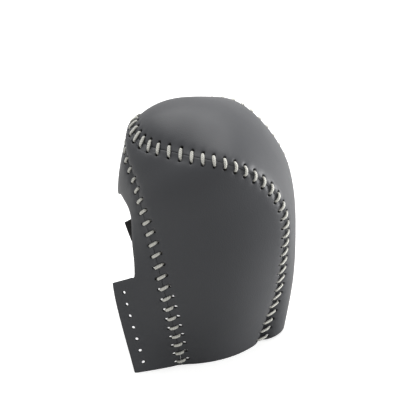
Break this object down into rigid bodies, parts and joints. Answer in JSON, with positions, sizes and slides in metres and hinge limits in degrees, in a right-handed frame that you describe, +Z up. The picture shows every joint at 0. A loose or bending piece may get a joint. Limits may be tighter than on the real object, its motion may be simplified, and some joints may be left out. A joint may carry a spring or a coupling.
{
  "type": "gear knob cover",
  "caption": "Hand-laced leather cover for an automatic gear lever's knob: a domed hood with a button window in front and two punched flaps below it that lace together.",
  "frame": {"origin": "middle of the bounding box in plan, at the height of the bottom rim, on which the cover stands", "axes": "+Z up through the dome, -X towards the side with the button window and the flaps, +X towards the spine, and the mirror plane of the panels at Y = 0"},
  "size_m": [0.0696, 0.071, 0.0979],
  "materials": {
    "panel_leather": "smooth fine-grained black hide with a satin sheen",
    "lacing_thread": "light grey waxed two-ply thread"
  },
  "bodies": {
    "root": {"cap_panel": "panel_leather", "side_panel": "panel_leather", "front_panel": "panel_leather", "cap_seam_lace": "lacing_thread", "front_seam_lace": "lacing_thread"}
  },
  "joints": []
}
